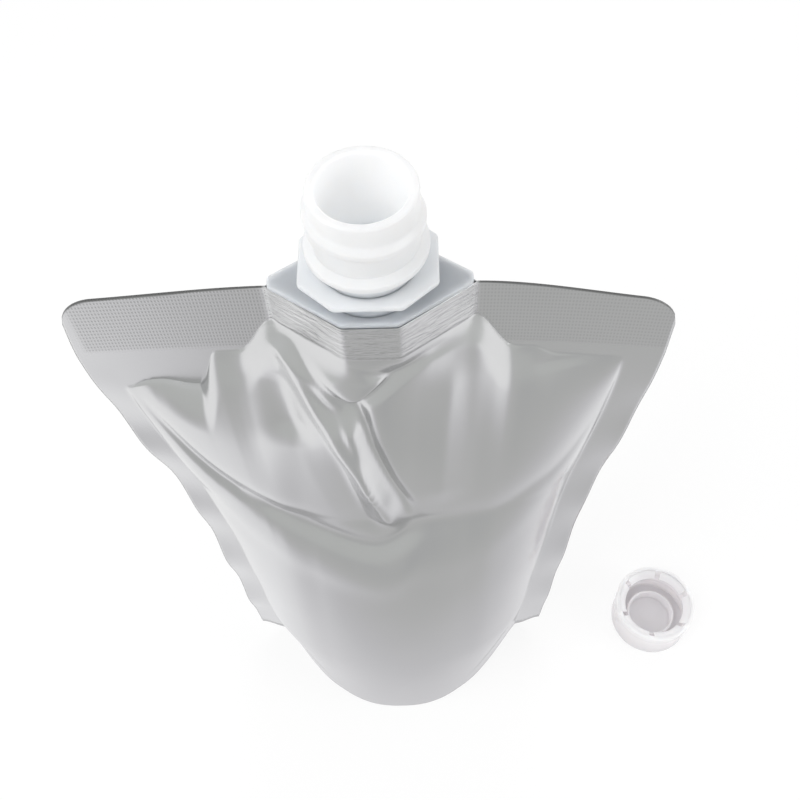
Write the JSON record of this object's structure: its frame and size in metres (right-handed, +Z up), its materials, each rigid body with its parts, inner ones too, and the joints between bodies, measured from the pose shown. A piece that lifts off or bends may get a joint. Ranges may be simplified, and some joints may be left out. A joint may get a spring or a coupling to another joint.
{
  "type": "spouted stand-up pouch",
  "caption": "Filled foil laminate stand-up pouch with welded side and top seals, a welded wide-mouth screw spout and its cap lying beside it.",
  "frame": {"origin": "on the floor, in the middle of the bottom gusset and under the spout's axis", "axes": "+Z up along the spout, +X to the right across the pouch's width, -Y towards the front panel"},
  "size_m": [0.2017, 0.0744, 0.2705],
  "materials": {
    "foil_laminate": "glossy clear-coated foil film",
    "milky_plastic": "translucent natural polyethylene",
    "white_plastic": "glossy white polyethylene"
  },
  "bodies": {
    "root": {"pouch": "foil_laminate", "spout": "milky_plastic", "cap": "white_plastic"}
  },
  "joints": []
}
